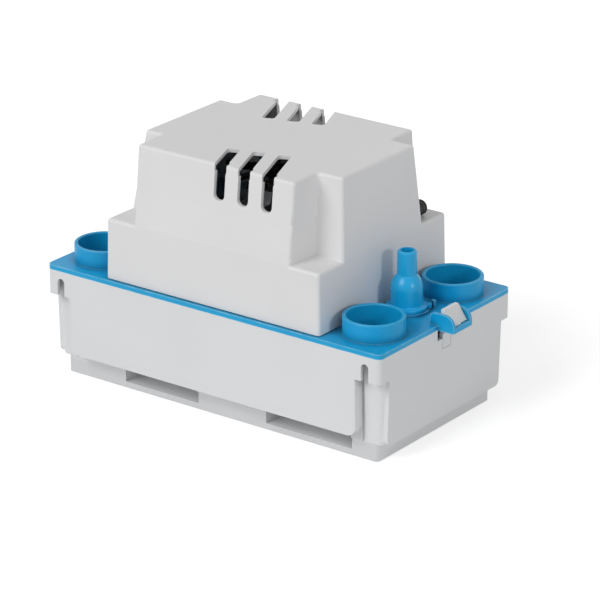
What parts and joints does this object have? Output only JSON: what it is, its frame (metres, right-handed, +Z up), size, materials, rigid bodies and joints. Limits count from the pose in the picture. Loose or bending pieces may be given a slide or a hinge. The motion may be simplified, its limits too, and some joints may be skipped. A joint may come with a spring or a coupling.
{
  "type": "condensate pump",
  "caption": "Tank condensate pump: rectangular open tank, latched lid with round inlets, vented motor cover, float switch, shaded-pole motor, centrifugal pump and check valve.",
  "frame": {"origin": "on the floor, under the middle of the tank", "axes": "+X along the tank towards the outlet end, -Y towards the front long side, +Z up"},
  "size_m": [0.2404, 0.125, 0.1479],
  "materials": {
    "tank_plastic": "moulded, satin",
    "cover_plastic": "moulded, satin",
    "lid_plastic": "moulded, satin",
    "valve_plastic": "moulded, semi-gloss",
    "black_rubber": "moulded",
    "stack_steel": "stacked sheet",
    "zinc_steel": "zinc plated",
    "shaft_steel": "ground",
    "winding": "varnished wire, taped",
    "bronze": "sintered",
    "white_plastic": "moulded",
    "black_plastic": "moulded",
    "dark_grey_plastic": "moulded",
    "red_plastic": "moulded",
    "hose_vinyl": "clear soft tube, shown cloudy",
    "terminal_brass": "plated"
  },
  "bodies": {
    "tank_unit": {"tank": "tank_plastic"},
    "hook": {"latch_hook": "tank_plastic"},
    "rotor_unit": {"shaft": "shaft_steel", "rotor": "stack_steel", "cooling_fan": "black_plastic", "impeller": "white_plastic"},
    "float_unit": {"float_block": "white_plastic", "float_rod": "white_plastic"},
    "lever": {"switch_lever": "white_plastic"},
    "pump_button": {"pump_switch_button": "red_plastic"},
    "alarm_button": {"alarm_switch_button": "red_plastic"},
    "valve": {"valve_body": "valve_plastic", "valve_seat": "black_rubber", "valve_o_ring": "black_rubber"},
    "ball": {"valve_ball": "black_rubber"},
    "head": {"lid": "lid_plastic", "motor_cover": "cover_plastic", "cover_screws": "zinc_steel", "cable_gland": "black_rubber", "motor_stack": "stack_steel", "coil_bobbin": "white_plastic", "motor_coil": "winding", "lower_bracket": "zinc_steel", "upper_bracket": "zinc_steel", "lower_bearing": "bronze", "upper_bearing": "bronze", "motor_screws": "zinc_steel", "pump_column": "dark_grey_plastic", "column_screws": "zinc_steel", "guide_bush": "bronze", "pump_casing": "dark_grey_plastic", "suction_plate": "dark_grey_plastic", "discharge_hose": "hose_vinyl", "hose_clips": "zinc_steel", "switch_bracket": "dark_grey_plastic", "lever_pin": "shaft_steel", "switch_screws": "zinc_steel", "pump_switch": "black_plastic", "alarm_switch": "black_plastic", "terminal_block": "black_plastic", "terminal_screws": "terminal_brass"}
  },
  "joints": [
    {"name": "hook_flex", "type": "hinge", "parent": "tank_unit", "child": "hook", "pos_m": [0.1139, 0, 0.0513], "axis": [0, -1, 0], "range_deg": [0, 4], "stiffness_Nm_per_rad": 0.3},
    {"name": "head_lift", "type": "slide", "parent": "tank_unit", "child": "head", "axis": [0, 0, 1], "range_m": [0, 0.085]},
    {"name": "rotor_spin", "type": "hinge", "parent": "head", "child": "rotor_unit", "pos_m": [0, 0, 0.1], "axis": [0, 0, 1], "continuous": true},
    {"name": "float_slide", "type": "slide", "parent": "head", "child": "float_unit", "axis": [0, 0, 1], "range_m": [0, 0.009]},
    {"name": "lever_tilt", "type": "hinge", "parent": "head", "child": "lever", "pos_m": [-0.042, 0, 0.082], "axis": [0, 1, 0], "range_deg": [0, 23]},
    {"name": "pump_button_press", "type": "slide", "parent": "head", "child": "pump_button", "axis": [1, 0, 0], "range_m": [0, 0.0018], "stiffness_N_per_m": 50},
    {"name": "alarm_button_press", "type": "slide", "parent": "head", "child": "alarm_button", "axis": [1, 0, 0], "range_m": [0, 0.0013], "stiffness_N_per_m": 50},
    {"name": "valve_twist", "type": "hinge", "parent": "head", "child": "valve", "pos_m": [0.0884, 0, 0.06], "axis": [0, 0, 1], "range_deg": [-40, 0]},
    {"name": "ball_lift", "type": "slide", "parent": "valve", "child": "ball", "axis": [0, 0, 1], "range_m": [0, 0.004]}
  ],
  "couplings": [
    {"joint": "lever_tilt", "follows": "float_slide", "rad_per_m": 44.17},
    {"joint": "pump_button_press", "follows": "float_slide", "ratio": 0.2},
    {"joint": "alarm_button_press", "follows": "float_slide", "ratio": 0.1444}
  ]
}
